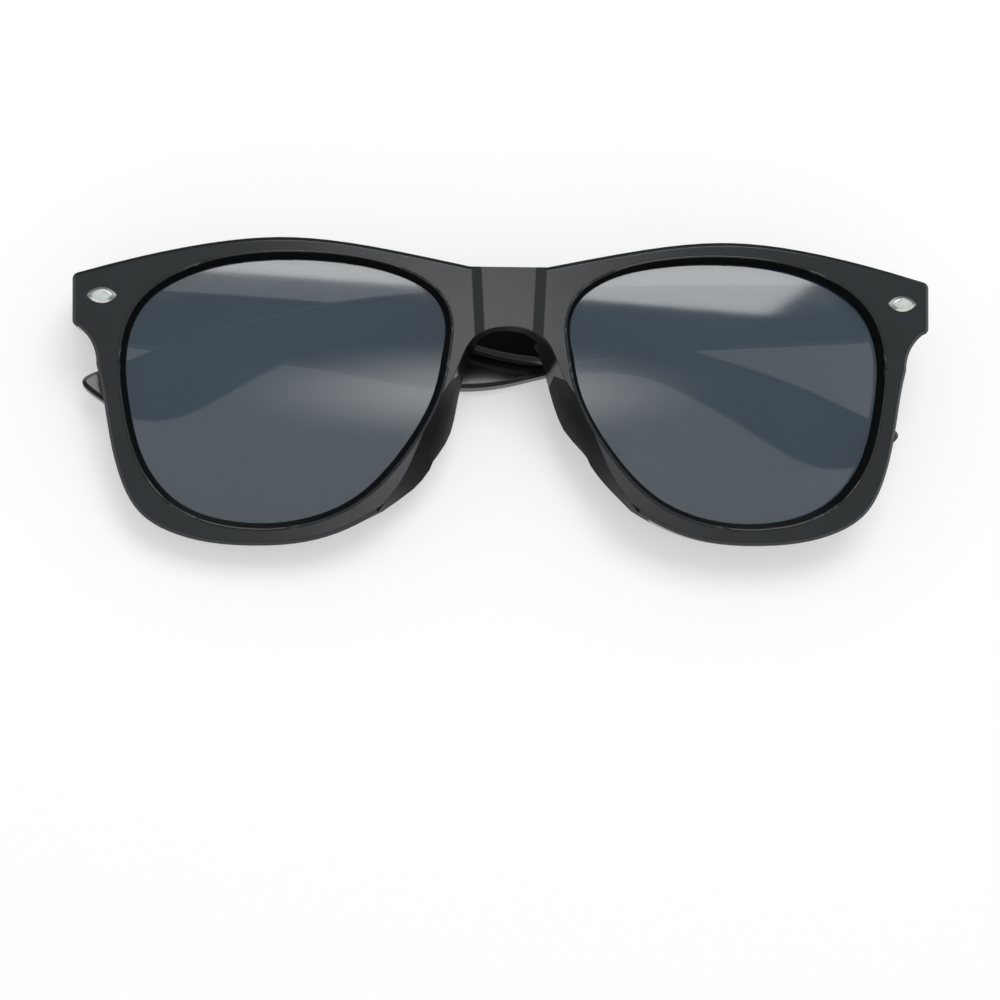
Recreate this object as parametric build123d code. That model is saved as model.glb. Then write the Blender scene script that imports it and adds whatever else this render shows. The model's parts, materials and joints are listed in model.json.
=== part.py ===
# Diffraction glasses, folded and lying face up on the back of the outer temple.
#
# Every piece is drawn as it is worn: x runs to the wearer's left, y back from the front
# of the bridge, and z up from the middle of the lenses. The finished set is then turned
# until the outer face of the right temple lies flat on the table, with +Z up.
import os
from math import atan, degrees, sqrt

from build123d import *

# Lenses and the moulded front
bridge_gap = 21.4  # between the two lens openings
lens_width = 53.4
lens_height = 44.4
rim_wall = 3.9  # below a lens
rim_side = 4.3  # between a lens and the outside of the rim
brow_wall = 3.5  # above a lens
bezel_flare = 0.9  # how much the opening widens all round from the lens to the front
bezel_land = 0.3  # the straight part of the opening in front of the lens
end_reach = 4.6  # how far an end piece stands out past the rim
end_height = 8.4
end_width = 11.2  # of the thick block that carries the hinge
end_corner = 1.1
wrap_radius = 1800.0  # the front is bent a little around the face
rim_depth = 4.4
edge_bevel = 0.6  # along the outer edge of the front face
lens_recess = 2.3  # from the front face to the lens
lens_thickness = 1.3
film_thickness = 0.2
groove_depth = 0.8
groove_play = 0.1
bridge_height = 21.1  # the top of the bridge above the middle of the lenses
bridge_width = 13.2
bridge_recess = 0.8
bridge_slant = 1.7  # width of the slanted sides of the recess
bridge_taper = 1.0
pad_depth = 7.4  # how far back the nose pads reach
pad_spread = 1.1  # how much further out a pad's sides stand in the rim than at its back

# Temples
tip_reach = 3.9  # how far a folded temple's tip passes the other hinge
temple_height = 9.6  # at the butt end
temple_rise = 0.75  # the middle of the butt end above the middle of the hinge
temple_thickness = 3.8
temple_tip = 2.6  # thickness at the tip
temple_bevel = 0.6
ear_start = 95.0
ear_bend_radius = 2500.0

# Hinges
hinge_depth = 12.5  # of the hinge axis behind the front of the bridge
hinge_height = 15.0
hinge_tilt = 14.0  # the front leans forward by this much over open temples
hinge_offset = 1.4  # from the hinge axis to a temple's inner face
right_hinge_drop = 1.75
right_hinge_cant = 1.8
butt_gap = 0.1
knuckle_radius = 1.15
knuckle_length = 1.9
knuckle_gap = 0.08
knuckle_room = 0.15
leaf_thickness = 0.8
leaf_stand = 0.2  # a leaf stands this much proud of the plastic
leaf_height = 5.6
front_leaf_length = 3.7
temple_leaf_length = 7.2
temple_leaf_start = 0.9
post_radius = 0.5
post_length = 1.6
screw_radius = 0.55
screw_play = 0.04
screw_head_radius = 0.95
screw_head_height = 0.5
slot_width = 0.3
slot_depth = 0.25

# Studs on the end pieces
stud_length = 5.0
stud_height = 2.7
stud_rim = 0.25
stud_rise = 0.75
stud_pin_radius = 0.6
stud_pin_length = 3.0
stud_inset = 4.9  # from the outer end to the middle of a stud
stud_level = 15.6

# How far each temple is folded, from fully open
left_fold_angle = 91.2
right_fold_angle = 87.8

overrun = 4.0  # cutters pass a surface by this much

# A lens opening, as shares of half a lens about its middle
lens_shares = [
    (-1.0, 0.42), (-0.92, 0.73), (-0.74, 0.87), (-0.42, 0.97), (0.0, 1.0), (0.4, 0.95),
    (0.7, 0.82), (0.9, 0.62), (1.0, 0.28), (0.98, -0.12), (0.88, -0.55), (0.67, -0.85),
    (0.34, -0.99), (-0.02, -0.99), (-0.4, -0.83), (-0.71, -0.47), (-0.92, -0.04),
]
# The rim's outer line, from the notch below the end piece round to the nose, as shares
# of half a lens with its rim
rim_shares = [
    (1.02, 0.16), (0.955, -0.255), (0.894, -0.557), (0.79, -0.784), (0.577, -0.933),
    (0.194, -1.0), (-0.187, -0.953), (-0.571, -0.718), (-0.84, -0.36),
]
# The brow line between the bridge and the end piece: lens shares across, and shares of
# the climb from either end up to the brow
brow_in_share = (-0.59, 0.64)
brow_out_share = (0.59, 0.75)
# The nose arch at the back and at the front, as shares of half the bridge gap and of
# half the height of a lens opening
arch_back_shares = [
    (0.0, 0.44), (0.3, 0.41), (0.5, 0.325), (0.62, 0.2), (0.7, 0.06), (0.82, -0.115),
    (0.99, -0.285), (1.2, -0.45), (1.48, -0.625), (1.84, -0.8), (2.25, -1.0),
]
arch_front_shares = [
    (0.0, 0.48), (0.35, 0.455), (0.6, 0.37), (0.77, 0.22), (0.9, 0.06), (1.03, -0.115),
    (1.19, -0.285), (1.38, -0.45), (1.62, -0.625), (1.92, -0.8), (2.25, -1.0),
]
pad_shares = [
    (0.45, 0.36), (0.91, 0.33), (0.97, 0.2), (1.05, 0.02), (1.18, -0.14), (1.38, -0.36),
    (1.4, -0.5), (1.1, -0.5), (0.75, -0.26), (0.45, 0.05),
]
# A temple seen from its side, from the top of the butt end round the tip to its bottom:
# shares of the length, and shares of the butt end's height down from the top edge
temple_shares = [
    (0.0, 0.0), (0.22, 0.01), (0.36, 0.08), (0.585, 0.26), (0.68, 0.44), (0.81, 0.9),
    (0.9, 1.35), (0.965, 1.76), (1.0, 2.07), (0.982, 2.33), (0.94, 2.68), (0.89, 2.67),
    (0.85, 2.42), (0.79, 1.88), (0.73, 1.42), (0.68, 1.13), (0.62, 1.06), (0.56, 1.17),
    (0.505, 1.4), (0.45, 1.54), (0.39, 1.51), (0.29, 1.3), (0.15, 1.13), (0.0, 0.98),
]

half_lens = lens_width / 2
half_height = lens_height / 2
half_gap = bridge_gap / 2
lens_x = half_gap + half_lens
half_rim = half_lens + rim_side
half_rim_height = half_height + rim_wall
end_x = lens_x + half_rim + end_reach
brow_z = half_height + brow_wall
end_top = hinge_height + end_height / 2
end_bottom = hinge_height - end_height / 2
lens_back = lens_recess + lens_thickness
film_back = lens_back + film_thickness
hinge_x = end_x - temple_thickness - hinge_offset
knuckle_stack = 3 * knuckle_length + 2 * knuckle_gap
temple_length = 2 * hinge_x + tip_reach
temple_taper = (temple_thickness - temple_tip) / temple_length
half_opening = half_height + bezel_flare


def placed(shares, x, half_width, half_tall):
    """Points from shares of a half width and a half height about (x, 0)."""
    return [(x + a * half_width, b * half_tall) for a, b in shares]


def upright(face, start, end):
    """A face drawn in x and z, made solid from y = start to y = end."""
    return Pos(0, end, 0) * extrude(Plane.XZ * face, amount=end - start)


def bent_slab(near, far):
    """The space between two depths behind the bent front face."""
    tall = 4 * half_rim_height
    outer = Cylinder(wrap_radius - near, tall)
    inner = Cylinder(wrap_radius - far, tall)
    ring = Pos(0, wrap_radius, 0) * (outer - inner)
    return ring & Box(2 * (end_x + overrun), 4 * hinge_depth, tall)


def lens_face(grow=0.0):
    """The lens outline, grown all round."""
    points = placed(lens_shares, lens_x, half_lens + grow, half_height + grow)
    return make_face(Spline(points, periodic=True))


def on_front(x):
    """A place on the bent front face, turned to face straight out of it."""
    depth = wrap_radius - sqrt(wrap_radius**2 - x**2)
    turn = degrees(atan(x / (wrap_radius - depth)))
    return Pos(x, depth, 0) * Rot(0, 0, turn)


def bezel_cutter():
    """What widens the left opening towards the front, drawn on to twice its own depth."""
    deep = lens_recess - bezel_land
    near = Pos(-lens_x, -deep, 0) * (Plane.XZ * lens_face(2 * bezel_flare))
    far = Pos(-lens_x, 2 * deep, 0) * (Plane.XZ * lens_face(-bezel_flare))
    return on_front(lens_x) * loft([near, far])


def front_outline():
    """The wearer's left half of the front, its nose side left too wide."""
    notch_top = (end_x - end_reach / 4, end_bottom - end_corner / 2)
    notch_deep = (end_x - end_reach * 2 / 3, end_bottom - end_height / 3)
    rim = placed(rim_shares, lens_x, half_rim, half_rim_height)
    inner_x, inner_z = brow_in_share
    outer_x, outer_z = brow_out_share
    brow = Spline(
        [
            (bridge_width / 2, bridge_height),
            (lens_x + inner_x * half_lens, bridge_height + inner_z * (brow_z - bridge_height)),
            (lens_x, brow_z),
            (lens_x + outer_x * half_lens, end_top + outer_z * (brow_z - end_top)),
            (end_x, end_top),
        ]
    )
    lines = [
        Line((0, bridge_height), (bridge_width / 2, bridge_height)),
        brow,
        Line((end_x, end_top), (end_x, end_bottom)),
        Line((end_x, end_bottom), notch_top),
        ThreePointArc(notch_top, notch_deep, rim[0]),
        Spline(rim),
        Line(rim[-1], (0, 0)),
        Line((0, 0), (0, bridge_height)),
    ]
    face = make_face(lines)
    corners = face.vertices().filter_by_position(Axis.X, end_x - groove_play, end_x + groove_play)
    return fillet(corners, end_corner)


def arch_face(shares):
    """The nose arch from side to side, closed below the rims."""
    left = placed(shares, 0, half_gap, half_opening)
    right = [(-x, z) for x, z in reversed(left[1:])]
    low = -half_rim_height - overrun
    points = right + left
    arch = Spline(points)
    ends = Polyline(points[-1], (points[-1][0], low), (points[0][0], low), points[0])
    return make_face([arch, ends])


def nose_cutter():
    """The nose gap, wider at the front than at the back of the pads."""
    front_face = Plane.XZ * arch_face(arch_front_shares)
    back_face = Pos(0, pad_depth, 0) * (Plane.XZ * arch_face(arch_back_shares))
    behind = upright(arch_face(arch_back_shares), pad_depth, pad_depth + overrun)
    ahead = upright(arch_face(arch_front_shares), -overrun, 0)
    return loft([front_face, back_face]) + behind + ahead


def nose_pad():
    """The left nose pad, too full on its nose side."""

    def section(spread, y):
        points = placed(pad_shares, 0, half_gap + spread, half_opening + spread)
        return Pos(0, y, 0) * (Plane.XZ * make_face(Spline(points, periodic=True)))

    return loft([section(pad_spread, rim_depth / 2), section(0, pad_depth)])


def bridge_cutter():
    """The recess across the bridge, with slanted sides."""

    def flat(half_top, half_low, y):
        low = half_opening * arch_back_shares[1][1] - overrun
        face = Polygon(
            (-half_top, bridge_height + overrun), (half_top, bridge_height + overrun),
            (half_low, low), (-half_low, low), align=None,
        )
        return Pos(0, y, 0) * (Plane.XZ * face)

    wide = bridge_width / 2
    narrow = wide - bridge_slant
    outer = flat(wide, wide - bridge_taper, 0)
    inner = flat(narrow, narrow - bridge_taper, bridge_recess)
    return loft([outer, inner])


def hinge_location(side):
    """The hinge axis on one side: local y runs along the open temple, local z up."""
    if side > 0:
        return Pos(hinge_x, hinge_depth, hinge_height) * Rot(-hinge_tilt, 0, 0)
    drop = hinge_height - right_hinge_drop
    return Pos(-hinge_x, hinge_depth, drop) * Rot(-hinge_tilt, 0, 0) * Rot(0, right_hinge_cant, 0)


def sided(shape, side):
    """A piece drawn for the wearer's left, or its mirror image for the right."""
    return shape if side > 0 else mirror(shape, about=Plane.YZ)


def folded(side):
    """Where a temple drawn open stands once it is folded."""
    angle = left_fold_angle if side > 0 else -right_fold_angle
    return hinge_location(side) * Rot(0, 0, angle)


def front_leaf():
    """The hinge half on the end piece: a plate with the two outer knuckles."""
    top = leaf_stand - butt_gap
    long = front_leaf_length + knuckle_radius
    plate = Pos(-front_leaf_length, top, 0) * Box(
        long, leaf_thickness, leaf_height, align=(Align.MIN, Align.MAX, Align.CENTER)
    )
    wide = 2 * (knuckle_radius + knuckle_room)
    tall = knuckle_length + 2 * knuckle_gap
    plate -= Box(wide, 2 * wide, tall)
    step = knuckle_length + knuckle_gap
    for z in (-step, step):
        plate += Pos(0, 0, z) * Cylinder(knuckle_radius, knuckle_length)
    plate -= Cylinder(screw_radius + screw_play, 2 * knuckle_stack)
    return plate + front_posts()


def leaf_posts(shape_at):
    """Two posts at the places along a leaf's height, set by shape_at(z)."""
    return [shape_at(z) for z in (-leaf_height / 3, leaf_height / 3)]


def front_posts():
    """The posts that hold the front leaf in the plastic."""
    x = -(front_leaf_length + knuckle_radius + knuckle_room) / 2
    start = leaf_stand - butt_gap - leaf_thickness
    post = Rot(90, 0, 0) * Cylinder(
        post_radius, post_length, align=(Align.CENTER, Align.CENTER, Align.MIN)
    )
    return leaf_posts(lambda z: Pos(x, start, z) * post)


def temple_posts():
    """The posts that hold the temple leaf in the plastic."""
    y = temple_leaf_start + temple_leaf_length * 2 / 3
    start = hinge_offset - leaf_stand + leaf_thickness
    post = Rot(0, 90, 0) * Cylinder(
        post_radius, post_length, align=(Align.CENTER, Align.CENTER, Align.MIN)
    )
    return leaf_posts(lambda z: Pos(start, y, z) * post)


def temple_plate():
    """The flat part of the temple leaf, let into the temple's inner face."""
    return Pos(hinge_offset - leaf_stand, temple_leaf_start, 0) * Box(
        leaf_thickness, temple_leaf_length, leaf_height,
        align=(Align.MIN, Align.MIN, Align.CENTER),
    )


def temple_arm():
    """What joins the middle knuckle to the temple leaf's plate."""
    return Box(
        hinge_offset - leaf_stand + leaf_thickness, knuckle_radius, knuckle_length,
        align=(Align.MIN, Align.MIN, Align.CENTER),
    )


def temple_leaf():
    """The hinge half on the temple: a plate with the middle knuckle."""
    leaf = Cylinder(knuckle_radius, knuckle_length) + temple_arm() + temple_plate()
    for post in temple_posts():
        leaf += post
    return leaf - Cylinder(screw_radius + screw_play, 2 * knuckle_stack)


def screw():
    """The hinge screw, its slotted head on the top knuckle."""
    top = knuckle_stack / 2
    shaft = Cylinder(screw_radius, knuckle_stack)
    head = Pos(0, 0, top) * Cylinder(
        screw_head_radius, screw_head_height, align=(Align.CENTER, Align.CENTER, Align.MIN)
    )
    slot = Pos(0, 0, top + screw_head_height) * Box(
        4 * screw_head_radius, slot_width, 2 * slot_depth
    )
    return shaft + head - slot


def temple_side():
    """A temple's outline from the side, y along it and z up."""
    top = temple_rise + temple_height / 2
    side = [(a * temple_length, top - b * temple_height) for a, b in temple_shares]
    return make_face([Spline(side), Line(side[-1], side[0])])


def temple_plan():
    """A temple's outline from above: a straight inner face, thinner to the ear end."""
    inner = hinge_offset
    outer = hinge_offset + temple_thickness
    ear_y = ear_start
    end_y = temple_length + overrun
    bend = (end_y - ear_y) ** 2 / (2 * ear_bend_radius)
    outer_ear = outer - temple_taper * ear_y
    outer_end = outer - temple_taper * end_y - bend
    slope = 2 * bend / (end_y - ear_y)
    inner_ear = Spline(
        [(inner, ear_y), (inner - bend, end_y)], tangents=[(0.0, 1.0), (-slope, 1.0)]
    )
    outer_curve = Spline(
        [(outer_end, end_y), (outer_ear, ear_y)],
        tangents=[(temple_taper + slope, -1.0), (temple_taper, -1.0)],
    )
    return make_face(
        [
            Line((inner, 0), (inner, ear_y)),
            inner_ear,
            Line((inner - bend, end_y), (outer_end, end_y)),
            outer_curve,
            Line((outer_ear, ear_y), (outer, 0)),
            Line((outer, 0), (inner, 0)),
        ]
    )


def temple():
    """A temple, open, in its hinge's own frame."""
    wide = 2 * (hinge_offset + temple_thickness)
    side = Pos(-wide / 2, 0, 0) * extrude(Plane.YZ * temple_side(), amount=2 * wide)
    tall = 4 * temple_height
    plan = Pos(0, 0, -tall) * extrude(temple_plan(), amount=2 * tall)
    body = side & plan
    long_edges = [e for e in body.edges() if e.length > temple_thickness * 2]
    body = chamfer(long_edges, temple_bevel)
    body -= temple_plate()
    body -= temple_arm()
    for post in temple_posts():
        body -= post
    return body


def hinge_pocket():
    """What is cut from an end piece for the front leaf and the knuckles."""
    top = leaf_stand - butt_gap
    plate = Pos(-front_leaf_length, top, 0) * Box(
        front_leaf_length + knuckle_radius, leaf_thickness, leaf_height,
        align=(Align.MIN, Align.MAX, Align.CENTER),
    )
    tall = knuckle_stack + 2 * (screw_head_height + knuckle_gap)
    pocket = plate + Cylinder(knuckle_radius + knuckle_room, tall)
    for post in front_posts():
        pocket += post
    return pocket


def eye_face(length, height):
    """A shape with two pointed ends, like an eye."""
    tip = length / 2
    high = ThreePointArc((-tip, 0), (0, height / 2), (tip, 0))
    low = ThreePointArc((tip, 0), (0, -height / 2), (-tip, 0))
    return make_face([high, low])


def stud():
    """A stud on the front of an end piece, its pin let into the plastic."""
    base = upright(eye_face(stud_length, stud_height), -stud_rim, 0)
    share = stud_rim / stud_rise
    crown_low = Plane.XZ * eye_face(stud_length, stud_height)
    crown_top = Plane.XZ * eye_face(stud_length * (1 - share), stud_height * (1 - share))
    crown = loft([Pos(0, -stud_rim, 0) * crown_low, Pos(0, -stud_rise, 0) * crown_top])
    return base + crown + stud_pin()


def stud_pin():
    """The pin behind a stud."""
    return Rot(-90, 0, 0) * Cylinder(
        stud_pin_radius, stud_pin_length, align=(Align.CENTER, Align.CENTER, Align.MIN)
    )


def stud_location(side):
    """A stud's seat on the bent front face."""
    return on_front(side * (end_x - stud_inset)) * Pos(0, 0, stud_level)


def front_frame():
    """The moulded front: rims, bridge, nose pads and end pieces."""
    wall = upright(front_outline(), -overrun, 2 * hinge_depth)
    slab = wall & bent_slab(0, rim_depth)
    front_edges = slab.faces().sort_by(Axis.Y)[0].edges()
    slab = chamfer(front_edges.sort_by(Axis.X)[1:], edge_bevel)
    opening = upright(lens_face(), -overrun, 2 * hinge_depth)
    rims = slab - opening - bezel_cutter()
    block = Pos(end_x - end_width, 0, end_bottom - end_corner) * Box(
        2 * end_width, 2 * hinge_depth, end_height * 2, align=(Align.MIN, Align.MIN, Align.MIN)
    )
    behind = Pos(0, -butt_gap, 0) * Box(
        8 * end_width, 8 * end_width, 8 * end_width, align=(Align.CENTER, Align.MIN, Align.CENTER)
    )
    end_piece = wall & block & bent_slab(lens_back, 2 * hinge_depth)
    end_piece -= hinge_location(1) * behind + opening
    half = rims + end_piece + nose_pad()
    half -= (upright(lens_face(groove_depth + groove_play), 0, hinge_depth)
             & bent_slab(lens_recess, film_back))
    front = half + mirror(half, about=Plane.YZ)
    front -= nose_cutter()
    front -= bridge_cutter()
    for side in (1, -1):
        front -= hinge_location(side) * sided(hinge_pocket(), side)
        front -= stud_location(side) * stud_pin()
    return front


def in_groove(near, far):
    """A sheet as large as the groove, between two depths behind the front face."""
    return upright(lens_face(groove_depth), 0, hinge_depth) & bent_slab(near, far)


def pieces():
    """Every piece as worn, but with the temples folded, under its name."""
    made = {"front_frame": front_frame()}
    lens = in_groove(lens_recess, lens_back)
    film = in_groove(lens_back, film_back)
    arm, leaf, plate, pin = temple(), temple_leaf(), front_leaf(), screw()
    for name, side in (("left", 1), ("right", -1)):
        made["lens_" + name] = sided(lens, side)
        made["diffraction_film_" + name] = sided(film, side)
        made["end_stud_" + name] = stud_location(side) * stud()
        made["front_hinge_" + name] = hinge_location(side) * sided(plate, side)
        made["hinge_screw_" + name] = hinge_location(side) * sided(pin, side)
        made["temple_" + name] = folded(side) * sided(arm, side)
        made["temple_hinge_" + name] = folded(side) * sided(leaf, side)
    return made


def table():
    """The plane of the outer face of the folded right temple, which it rests on."""
    arm = Plane(folded(-1))
    up = (arm.x_dir - arm.y_dir * temple_taper).normalized()
    across = Vector(1, 0, 0)
    across = (across - up * across.dot(up)).normalized()
    return Plane(origin=arm.origin, x_dir=across, z_dir=up)


def centred(shapes):
    """The move that puts the set's middle over the origin and its lowest point at z = 0."""
    boxes = [shape.bounding_box() for shape in shapes]
    middle_x = (min(b.min.X for b in boxes) + max(b.max.X for b in boxes)) / 2
    middle_y = (min(b.min.Y for b in boxes) + max(b.max.Y for b in boxes)) / 2
    return Pos(-middle_x, -middle_y, -min(b.min.Z for b in boxes))


def main():
    os.makedirs("parts", exist_ok=True)
    lay = table().location.inverse()
    laid = {name: lay * shape for name, shape in pieces().items()}
    move = centred(list(laid.values()))
    for name, shape in laid.items():
        export_step(move * shape, f"parts/{name}.step")
    for name, side in (("left", 1), ("right", -1)):
        hinge = Plane(move * lay * hinge_location(side))
        print(name, "hinge at", hinge.origin, "axis", hinge.z_dir)


main()
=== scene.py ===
import json
import math
import bpy
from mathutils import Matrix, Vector
from mathutils.kdtree import KDTree


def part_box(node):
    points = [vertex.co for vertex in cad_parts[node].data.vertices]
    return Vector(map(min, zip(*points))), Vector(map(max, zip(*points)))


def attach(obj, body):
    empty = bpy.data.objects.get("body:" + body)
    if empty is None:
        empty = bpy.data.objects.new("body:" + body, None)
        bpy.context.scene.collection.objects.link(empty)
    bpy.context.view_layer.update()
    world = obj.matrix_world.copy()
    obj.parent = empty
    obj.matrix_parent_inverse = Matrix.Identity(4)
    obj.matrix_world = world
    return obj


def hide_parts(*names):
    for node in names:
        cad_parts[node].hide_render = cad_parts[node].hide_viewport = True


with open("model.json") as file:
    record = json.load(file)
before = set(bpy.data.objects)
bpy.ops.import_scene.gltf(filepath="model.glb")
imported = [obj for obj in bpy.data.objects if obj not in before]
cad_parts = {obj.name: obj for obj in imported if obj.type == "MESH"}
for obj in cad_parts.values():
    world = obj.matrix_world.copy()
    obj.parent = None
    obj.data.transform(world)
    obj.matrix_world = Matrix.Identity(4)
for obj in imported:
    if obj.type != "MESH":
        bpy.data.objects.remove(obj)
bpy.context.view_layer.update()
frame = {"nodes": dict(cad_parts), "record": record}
nodes = frame["nodes"]
print("frame loaded")

mm = 0.001


def deselectAll():
    if bpy.context.mode != "OBJECT":
        bpy.ops.object.mode_set(mode="OBJECT")
    bpy.ops.object.select_all(action="DESELECT")


def makeActive(piece):
    deselectAll()
    piece.select_set(True)
    bpy.context.view_layer.objects.active = piece


# how far value has come from start to end, with a soft start and a soft end
def easeIn(value, start, end):
    share = min(max((value - start) / (end - start), 0.0), 1.0)
    return share * share * (3 - 2 * share)


# the front's face lies in a plane that is bent a little around the wearer's head
frontPlane = {
    "middle": (-0.089478 * mm, -0.511666 * mm, 16.1528 * mm),
    "back": (0.02889, 0.24102, -0.97009),
    "up": (-0.00718, 0.97053, 0.2409),
    "wrap": 1800.0,  # mm, radius of the bend
}
middle, back, up = (Vector(frontPlane[key]) for key in ("middle", "back", "up"))
across = back.cross(up).normalized()  # towards the wearer's left


def middleOf(name):
    low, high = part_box(name)
    return (low + high) / 2


lensMiddles = {1: middleOf("lens_left"), -1: middleOf("lens_right")}  # by the sign of their side


# a point's place on the front in mm: to the side, up, and behind the bent face
def onFront(point):
    offset = point - middle
    side, height = offset.dot(across) / mm, offset.dot(up) / mm
    return side, height, offset.dot(back) / mm - side * side / (2 * frontPlane["wrap"])


def newMaterial(name):
    material = bpy.data.materials.new(name)
    material.use_nodes = True
    tree = material.node_tree
    return material, tree, tree.nodes["Principled BSDF"]


def addNode(tree, kind, **values):
    node = tree.nodes.new(kind)
    for name, value in values.items():
        setattr(node, name, value)
    return node


def noiseAt(tree, scale, detail=2.0, roughness=0.5, stretch=(1, 1, 1)):
    place = addNode(tree, "ShaderNodeTexCoord")
    mapping = addNode(tree, "ShaderNodeMapping")
    mapping.inputs["Scale"].default_value = stretch
    noise = addNode(tree, "ShaderNodeTexNoise")
    noise.inputs["Scale"].default_value = scale
    noise.inputs["Detail"].default_value = detail
    noise.inputs["Roughness"].default_value = roughness
    tree.links.new(place.outputs["Object"], mapping.inputs["Vector"])
    tree.links.new(mapping.outputs["Vector"], noise.inputs["Vector"])
    return noise.outputs["Fac"]


def rampOf(tree, source, stops):
    ramp = addNode(tree, "ShaderNodeValToRGB")
    ramp.color_ramp.elements[0].position, ramp.color_ramp.elements[0].color = stops[0]
    ramp.color_ramp.elements[1].position, ramp.color_ramp.elements[1].color = stops[-1]
    for position, colour in stops[1:-1]:
        ramp.color_ramp.elements.new(position).color = colour
    tree.links.new(source, ramp.inputs["Fac"])
    return ramp.outputs["Color"]


def spread(tree, source, low, high):
    span = addNode(tree, "ShaderNodeMapRange")
    span.inputs["To Min"].default_value = low
    span.inputs["To Max"].default_value = high
    tree.links.new(source, span.inputs["Value"])
    return span.outputs["Result"]


def bumpFrom(tree, source, strength, distance, normal=None):
    bump = addNode(tree, "ShaderNodeBump")
    bump.inputs["Strength"].default_value = strength
    bump.inputs["Distance"].default_value = distance
    tree.links.new(source, bump.inputs["Height"])
    if normal:
        tree.links.new(normal, bump.inputs["Normal"])
    return bump.outputs["Normal"]


def roundedEdges(tree, radius):
    rounded = addNode(tree, "ShaderNodeBevel", samples=6)
    rounded.inputs["Radius"].default_value = radius
    return rounded.outputs["Normal"]


def linkFinish(tree, shader, colour, rough, normal=None):
    tree.links.new(colour, shader.inputs["Base Color"])
    tree.links.new(rough, shader.inputs["Roughness"])
    if normal:
        tree.links.new(normal, shader.inputs["Normal"])


def greyTone(level, blue=1.0):
    return (level, level, level * blue, 1)


# moulded gloss black plastic of the front and the temples
plasticLook = {
    "tones": [(0.35, (0.0040, 0.0052, 0.0056, 1)), (0.7, (0.0060, 0.0078, 0.0084, 1))],
    "rough": (0.11, 0.18),
    "edgeRound": 0.25 * mm,
    "flow": (90, 3),  # scale and detail of the slow waves left by the mould
    "flowBump": (0.12, 0.25 * mm),
    "grain": (2600, 4, 0.65),  # fine dust and rub marks
    "grainBump": (0.10, 0.02 * mm),
    "ior": 1.5,
}


def makePlastic(look):
    material, tree, shader = newMaterial("blackPlastic")
    flow = noiseAt(tree, *look["flow"])
    grain = noiseAt(tree, *look["grain"])
    colour = rampOf(tree, flow, look["tones"])
    rough = spread(tree, grain, *look["rough"])
    rounded = roundedEdges(tree, look["edgeRound"])
    wave = bumpFrom(tree, flow, *look["flowBump"], rounded)
    speck = bumpFrom(tree, grain, *look["grainBump"], wave)
    linkFinish(tree, shader, colour, rough, speck)
    shader.inputs["IOR"].default_value = look["ior"]
    return material


# the same plastic left satin and painted darker: painted shade where the bezels drop to the lenses and on
# the flanks beside the nose
shadedBezelLook = {
    # darker tones than the gloss plastic, painted shade
    "tones": [(0.35, (0.0016, 0.0018, 0.0020, 1)), (0.7, (0.0030, 0.0034, 0.0036, 1))],
    "rough": (0.42, 0.546),
    "grain": (2600, 4, 0.65),
    "grainBump": (0.10, 0.02 * mm),
    "gloss": 0.12,
}


def makeShadedBezel(look):
    material, tree, shader = newMaterial("satinBezelPaintedShade")
    grain = noiseAt(tree, *look["grain"])
    colour = rampOf(tree, grain, look["tones"])
    rough = spread(tree, grain, *look["rough"])
    speck = bumpFrom(tree, grain, *look["grainBump"])
    linkFinish(tree, shader, colour, rough, speck)
    shader.inputs["Specular IOR Level"].default_value = look["gloss"]
    return material


# smoke grey lenses, seen through from both sides, polished to a shallow curve
lensLook = {
    "tones": [(0.3, (0.005, 0.024, 0.042, 1)), (0.7, (0.007, 0.028, 0.048, 1))],
    "alpha": 0.71,
    "rough": (0.05, 0.08),
    "haze": (60, 2),
    "gloss": 0.8,
    "ior": 1.6,
    "curve": 0.14,  # radius of the polished face, from brow to cheek
}


def makeLens(look, name):
    material, tree, shader = newMaterial("smoke_" + name)
    haze = noiseAt(tree, *look["haze"])
    colour = rampOf(tree, haze, look["tones"])
    rough = spread(tree, haze, *look["rough"])
    place = addNode(tree, "ShaderNodeTexCoord")
    offset = addNode(tree, "ShaderNodeVectorMath", operation="SUBTRACT")
    offset.inputs[1].default_value = middleOf(name)
    rise = addNode(tree, "ShaderNodeVectorMath", operation="DOT_PRODUCT")
    rise.inputs[1].default_value = frontPlane["up"]
    square = addNode(tree, "ShaderNodeMath", operation="MULTIPLY")
    sag = addNode(tree, "ShaderNodeMath", operation="MULTIPLY")
    sag.inputs[1].default_value = -0.5 / look["curve"]
    tree.links.new(place.outputs["Object"], offset.inputs[0])
    tree.links.new(offset.outputs["Vector"], rise.inputs[0])
    tree.links.new(rise.outputs["Value"], square.inputs[0])
    tree.links.new(rise.outputs["Value"], square.inputs[1])
    tree.links.new(square.outputs["Value"], sag.inputs[0])
    curved = bumpFrom(tree, sag.outputs["Value"], 1.0, 1.0)  # full strength, heights in metres
    linkFinish(tree, shader, colour, rough, curved)
    shader.inputs["Alpha"].default_value = look["alpha"]
    shader.inputs["IOR"].default_value = look["ior"]
    shader.inputs["Specular IOR Level"].default_value = look["gloss"]
    return material


# clear diffraction film with a faint painted rainbow sheen drifting over it, in place of its diffraction
# colours
filmLook = {
    # pale blue, violet and green: the painted rainbow sheen
    "tones": [
        (0.25, (0.30, 0.34, 0.42, 1)),
        (0.5, (0.36, 0.34, 0.42, 1)),
        (0.75, (0.32, 0.38, 0.38, 1)),
    ],
    "alpha": 0.03,
    "rough": (0.12, 0.18),
    "sheenDrift": (55, 1, 0.4, (1, 0.3, 1)),
    "thinner": 0.1 * mm,  # so that it doesn't touch the lens
}


def makeFilm(look):
    material, tree, shader = newMaterial("diffractionFilm")
    sheenDrift = noiseAt(tree, *look["sheenDrift"])
    linkFinish(tree, shader, rampOf(tree, sheenDrift, look["tones"]), spread(tree, sheenDrift, *look["rough"]))
    shader.inputs["Alpha"].default_value = look["alpha"]
    return material


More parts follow.
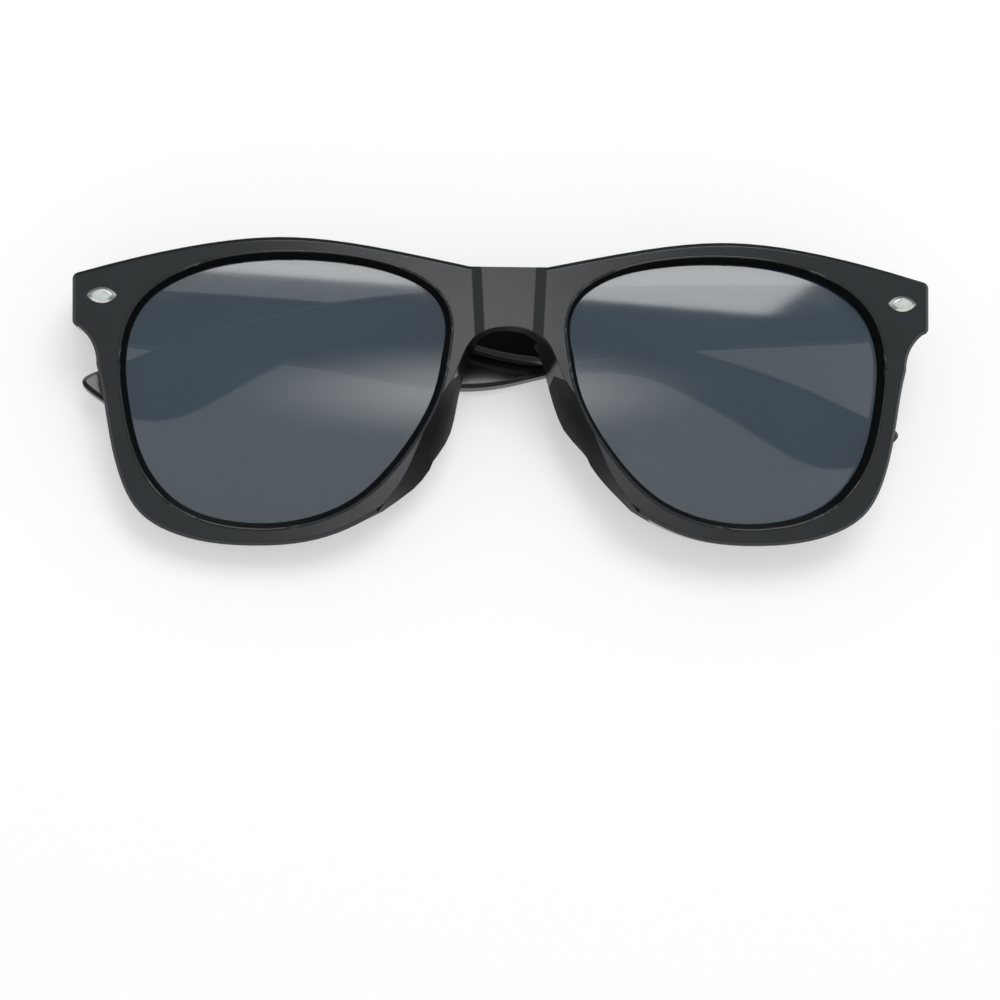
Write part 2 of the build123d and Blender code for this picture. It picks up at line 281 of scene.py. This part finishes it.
# bright plated studs, and the plain steel of the hinges and screws
metalLooks = {
    "studMetal": {
        "tones": [(0.3, greyTone(0.62, 0.92)), (0.7, greyTone(0.78, 0.94))],
        "rough": (0.16, 0.24),
        "grain": (900, 4, 0.6, (1, 1, 0.25)),
        "grainBump": (0.08, 0.02 * mm),
        "edgeRound": 0.12 * mm,
    },
    "hingeSteel": {
        "tones": [(0.3, greyTone(0.05, 0.95)), (0.7, greyTone(0.09, 0.95))],
        "rough": (0.3, 0.45),
        "grain": (1500, 4, 0.6, (1, 1, 0.25)),
        "grainBump": (0.08, 0.02 * mm),
        "edgeRound": 0.06 * mm,
    },
}


def makeMetal(name, look):
    material, tree, shader = newMaterial(name)
    grain = noiseAt(tree, *look["grain"])
    colour = rampOf(tree, grain, look["tones"])
    rough = spread(tree, grain, *look["rough"])
    rounded = roundedEdges(tree, look["edgeRound"])
    linkFinish(tree, shader, colour, rough, bumpFrom(tree, grain, *look["grainBump"], rounded))
    shader.inputs["Metallic"].default_value = 1.0
    return material


finishes = {
    "black_plastic": makePlastic(plasticLook),
    "film": makeFilm(filmLook),
    "bright_metal": makeMetal("studMetal", metalLooks["studMetal"]),
    "hinge_steel": makeMetal("hingeSteel", metalLooks["hingeSteel"]),
}
slotOf = {part["node"]: part["material_slot"] for part in frame["record"]["subparts"]}
for name, node in nodes.items():
    node.data.materials.clear()
    if slotOf[name] == "smoke_lens":
        node.data.materials.append(makeLens(lensLook, name))
    else:
        node.data.materials.append(finishes[slotOf[name]])
print("finishes on", len(nodes), "nodes")


# a copy of a solid with its loose triangles joined, ready to be shaped
def mergedCopy(name, pieceName):
    piece = nodes[name].copy()
    piece.data = nodes[name].data.copy()
    piece.name = pieceName
    bpy.context.collection.objects.link(piece)
    makeActive(piece)
    bpy.ops.object.mode_set(mode="EDIT")
    bpy.ops.mesh.select_all(action="SELECT")
    bpy.ops.mesh.remove_doubles(threshold=0.002 * mm)
    bpy.ops.object.mode_set(mode="OBJECT")
    bpy.ops.mesh.customdata_custom_splitnormals_clear()
    return piece


# the moulded front, in mm on the bent face: its bezels widen towards the face, its rims fall
# away towards the nose, and the tails of its nose pads run out into the rims
frontLook = {
    "bezelBand": 1.85,  # the bezel is what stands this near to a lens outline
    "bezelOver": 0.4,  # and no further than this outside it
    "bezelDepth": 2.2,
    "bezelWiden": 1.1,
    "faceDepth": 0.3,  # shallower than this is the face itself
    "beadRadius": 0.26,
    "noseReach": (-23, 4),  # lowest and highest place that counts as beside the nose
    "noseEdge": 9.7,  # half width of the nose gap at mid height
    "noseLean": 0.53,
    "noseCurl": 0.03,  # and how the gap opens further down
    "curlStart": 14,
    "noseBand": 1.6,
    "flankAcross": 0.88,  # the way that a flank of the gap faces
    "flankUp": 0.47,
    "flankTilt": 0.93,  # a wall is what leans more than this from the face
    "rimDepth": 4.4,
    "fall": 1.5,  # how far the front edge draws back from the nose
    "fallTop": (-3.0, 3.5),  # below mid height, where the fall begins and is full
    "fallFoot": (-19.0, -5.0),
    "flare": {1: 0.4, -1: 2.0},  # how far the back edge reaches towards the nose
    "flareTop": (-1.0, 11.0),
    "flareFoot": (-23.0, -14.0),
    "padSlope": 0.33,
    "tail": (5.0, 12.0),  # below mid height, where a pad runs out
}


def lensOutlines():
    lenses = (nodes["lens_left"], nodes["lens_right"])
    points = [onFront(vertex.co) for lens in lenses for vertex in lens.data.vertices]
    outlines = KDTree(len(points))
    for index, (side, height, depth) in enumerate(points):
        outlines.insert((side, height, 0), index)
    outlines.balance()
    return outlines


# distance from the nearest lens outline, or infinity on the rim's own face
def bezelGap(side, height, outlines, look):
    edge, index, gap = outlines.find((side, height, 0))
    lensMiddle = Vector(onFront(lensMiddles[1 if side > 0 else -1])[:2])
    reach = (Vector((side, height)) - lensMiddle).length
    outside = reach > (edge.xy - lensMiddle).length + look["bezelOver"]
    return math.inf if outside else gap


def besideNose(side, height, look):
    below = max(-height, 0.0)
    edge = look["noseEdge"] + look["noseLean"] * below
    edge += look["noseCurl"] * max(below - look["curlStart"], 0.0) ** 2
    low, high = look["noseReach"]
    return abs(side) < edge + look["noseBand"] and low < height < high


def widenBezel(vertex, side, depth, look):
    outward = vertex.co - lensMiddles[1 if side > 0 else -1]
    outward -= back * outward.dot(back)
    vertex.co += outward.normalized() * look["bezelWiden"] * (1 - depth / look["bezelDepth"]) * mm


def shapeFlank(vertex, side, height, depth, look):
    outward = across * math.copysign(look["flankAcross"], side) + up * look["flankUp"]
    fall = easeIn(-height, *look["fallTop"]) * easeIn(height, *look["fallFoot"])
    flare = look["flare"][1 if side > 0 else -1]
    flare *= easeIn(-height, *look["flareTop"]) * easeIn(height, *look["flareFoot"])
    share = min(depth / look["rimDepth"], 1.0)
    lift = max(depth - look["rimDepth"], 0.0) * easeIn(-height, *look["tail"])
    vertex.co += outward * (look["fall"] * (1 - share) * fall - flare * share) * mm
    vertex.co += outward * look["padSlope"] * lift * mm - back * lift * mm


# the thin polished round where a bezel meets the face
def makeBead(front, line, look):
    used = sorted({index for key in line for index in key})
    order = {index: place for place, index in enumerate(used)}
    points = [front.data.vertices[index].co.copy() for index in used]
    lineMesh = bpy.data.meshes.new("bezelBead")
    lineMesh.from_pydata(points, [(order[a], order[b]) for a, b in line], [])
    bead = bpy.data.objects.new("bezelBead", lineMesh)
    bpy.context.collection.objects.link(bead)
    makeActive(bead)
    bpy.ops.object.convert(target="CURVE")
    bead = bpy.context.object
    bead.data.bevel_depth = look["beadRadius"] * mm
    bead.data.bevel_resolution = 2
    bpy.ops.object.convert(target="MESH")
    bead = bpy.context.object
    bpy.ops.object.shade_smooth()
    bead.data.materials.clear()
    bead.data.materials.append(finishes["black_plastic"])
    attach(bead, "front")


def makeFront(look):
    front = mergedCopy("front_frame", "mouldedFront")
    outlines = lensOutlines()
    depths, onBezel, onNose = [], [], []
    for vertex in front.data.vertices:
        side, height, depth = onFront(vertex.co)
        depths.append(depth)
        onBezel.append(bezelGap(side, height, outlines, look) < look["bezelBand"])
        onNose.append(besideNose(side, height, look))
        if onNose[-1]:
            shapeFlank(vertex, side, height, depth, look)
        elif onBezel[-1] and depth < look["bezelDepth"]:
            widenBezel(vertex, side, depth, look)
    # second material: satin plastic with painted shade, for the bezel walls and the nose flanks
    front.data.materials.append(makeShadedBezel(shadedBezelLook))
    satinShadeAt = {}
    for face in front.data.polygons:
        deepest = max(depths[index] for index in face.vertices)
        bezel = all(onBezel[index] for index in face.vertices)
        flank = all(onNose[index] for index in face.vertices) and -face.normal.dot(back) < look["flankTilt"]
        # bezel walls and steep nose flanks take the painted shade material
        if flank or (bezel and look["faceDepth"] < deepest < look["bezelDepth"] + look["faceDepth"]):
            face.material_index = 1
        for key in face.edge_keys:
            if all(onBezel[index] and depths[index] < look["faceDepth"] for index in key):
                satinShadeAt.setdefault(key, set()).add(face.material_index)
    bezelLine = [key for key, kinds in satinShadeAt.items() if len(kinds) == 2]
    print("bead along", len(bezelLine), "edges")
    makeBead(front, bezelLine, look)
    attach(front, "front")
    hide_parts("front_frame")
    return front


mouldedFront = makeFront(frontLook)
print("front moulded")


def makeFilmSheet(name, look):
    sheet = mergedCopy(name, name + "_sheet")
    facing = [vertex.normal.dot(back) < 0 for vertex in sheet.data.vertices]
    for vertex, forward in zip(sheet.data.vertices, facing):
        if forward:
            vertex.co += back * look["thinner"]
    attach(sheet, "front")
    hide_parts(name)
    return sheet


filmSheets = [makeFilmSheet("diffraction_film_" + side, filmLook) for side in ("left", "right")]
print("films set")

# smooth curved walls, crisp edges
smoothing = {"angle": math.radians(24)}
makeActive(nodes["front_frame"])
for piece in [*nodes.values(), mouldedFront, *filmSheets]:
    piece.select_set(True)
bpy.ops.object.shade_smooth_by_angle(angle=smoothing["angle"])
print("shading set")

# the pale table under the glasses
floorLook = {"half": 1.6, "tone": (0.63, 0.61, 0.585, 1), "lift": 0.41, "rough": 0.9, "gloss": 0.1}


def makeFloor(look):
    deselectAll()
    bpy.ops.mesh.primitive_plane_add(size=2 * look["half"], location=(0, 0, 0))
    floor = bpy.context.object
    floor.name = "tableTop"
    material, tree, shader = newMaterial("paleTable")
    shader.inputs["Base Color"].default_value = look["tone"]
    shader.inputs["Roughness"].default_value = look["rough"]
    shader.inputs["Specular IOR Level"].default_value = look["gloss"]
    shader.inputs["Emission Color"].default_value = greyTone(1.0)
    seen = addNode(tree, "ShaderNodeLightPath")
    reflected = addNode(tree, "ShaderNodeMath", operation="ADD", use_clamp=True)
    either = addNode(tree, "ShaderNodeMath", operation="ADD", use_clamp=True)
    lift = addNode(tree, "ShaderNodeMath", operation="MULTIPLY")
    lift.inputs[1].default_value = look["lift"]
    tree.links.new(seen.outputs["Is Glossy Ray"], reflected.inputs[0])
    tree.links.new(seen.outputs["Is Transmission Ray"], reflected.inputs[1])
    tree.links.new(seen.outputs["Is Camera Ray"], either.inputs[0])
    tree.links.new(reflected.outputs["Value"], either.inputs[1])
    tree.links.new(either.outputs["Value"], lift.inputs[0])
    tree.links.new(lift.outputs["Value"], shader.inputs["Emission Strength"])
    floor.data.materials.append(material)


makeFloor(floorLook)

# a broad lamp beyond the brow and a faint one from the side
lampLooks = {
    "browLamp": {"place": (0.1, 0.375, 1.0), "size": 0.54, "power": 4.2},
    "sideLamp": {"place": (-0.9, 0.05, 0.55), "size": 0.4, "power": 0.3},
}


def addLamp(name, look):
    deselectAll()
    bpy.ops.object.light_add(type="AREA", location=look["place"])
    lamp = bpy.context.object
    lamp.name = name
    lamp.data.shape = "SQUARE"
    lamp.data.size = look["size"]
    lamp.data.energy = look["power"]
    lamp.rotation_euler = (-lamp.location).to_track_quat("-Z", "Y").to_euler()


for name, look in lampLooks.items():
    addLamp(name, look)

# a sky with a soft glow overhead, dim towards the horizon
skyLook = {
    "levels": [(0.0, 0.10), (0.45, 0.60), (0.95, 0.75)],  # from the horizon up
    "cool": (0.93, 1.0, 1.05),
    "glow": 2.6,
    "glowPlace": (0.055, -0.18, 0.98),
    "glowReach": 0.15,
}


def makeSky(look):
    sky = bpy.data.worlds.new("studioSky")
    bpy.context.scene.world = sky
    sky.use_nodes = True
    tree = sky.node_tree
    place = addNode(tree, "ShaderNodeTexCoord")
    split = addNode(tree, "ShaderNodeSeparateXYZ")
    tree.links.new(place.outputs["Generated"], split.inputs["Vector"])
    stops = [(at, (*(level * part for part in look["cool"]), 1)) for at, level in look["levels"]]
    air = rampOf(tree, split.outputs["Z"], stops)
    away = addNode(tree, "ShaderNodeVectorMath", operation="DISTANCE")
    away.inputs[1].default_value = look["glowPlace"]
    tree.links.new(place.outputs["Generated"], away.inputs[0])
    glow = addNode(tree, "ShaderNodeMapRange", interpolation_type="SMOOTHSTEP")
    glow.inputs["From Min"].default_value = look["glowReach"]
    glow.inputs["From Max"].default_value = 0.0
    glow.inputs["To Max"].default_value = look["glow"]
    tree.links.new(away.outputs["Value"], glow.inputs["Value"])
    both = addNode(tree, "ShaderNodeVectorMath", operation="ADD")
    tree.links.new(air, both.inputs[0])
    tree.links.new(glow.outputs["Result"], both.inputs[1])
    tree.links.new(both.outputs["Vector"], tree.nodes["Background"].inputs["Color"])


makeSky(skyLook)
print("table and lamps set")

cameraLook = {
    "place": (-0.05519, -0.12410, 0.40954),
    "turn": (14.934, -7.339, -1.327),  # degrees
    "lens": 88.66,
    "sensor": 36,
    "nearest": 0.01,
}


def addCamera(look):
    deselectAll()
    turn = [math.radians(degrees) for degrees in look["turn"]]
    bpy.ops.object.camera_add(location=look["place"], rotation=turn)
    camera = bpy.context.object
    camera.data.sensor_width = look["sensor"]
    camera.data.lens = look["lens"]
    camera.data.clip_start = look["nearest"]
    bpy.context.scene.camera = camera


addCamera(cameraLook)
bpy.context.scene.view_settings.view_transform = "Standard"
print("camera set")
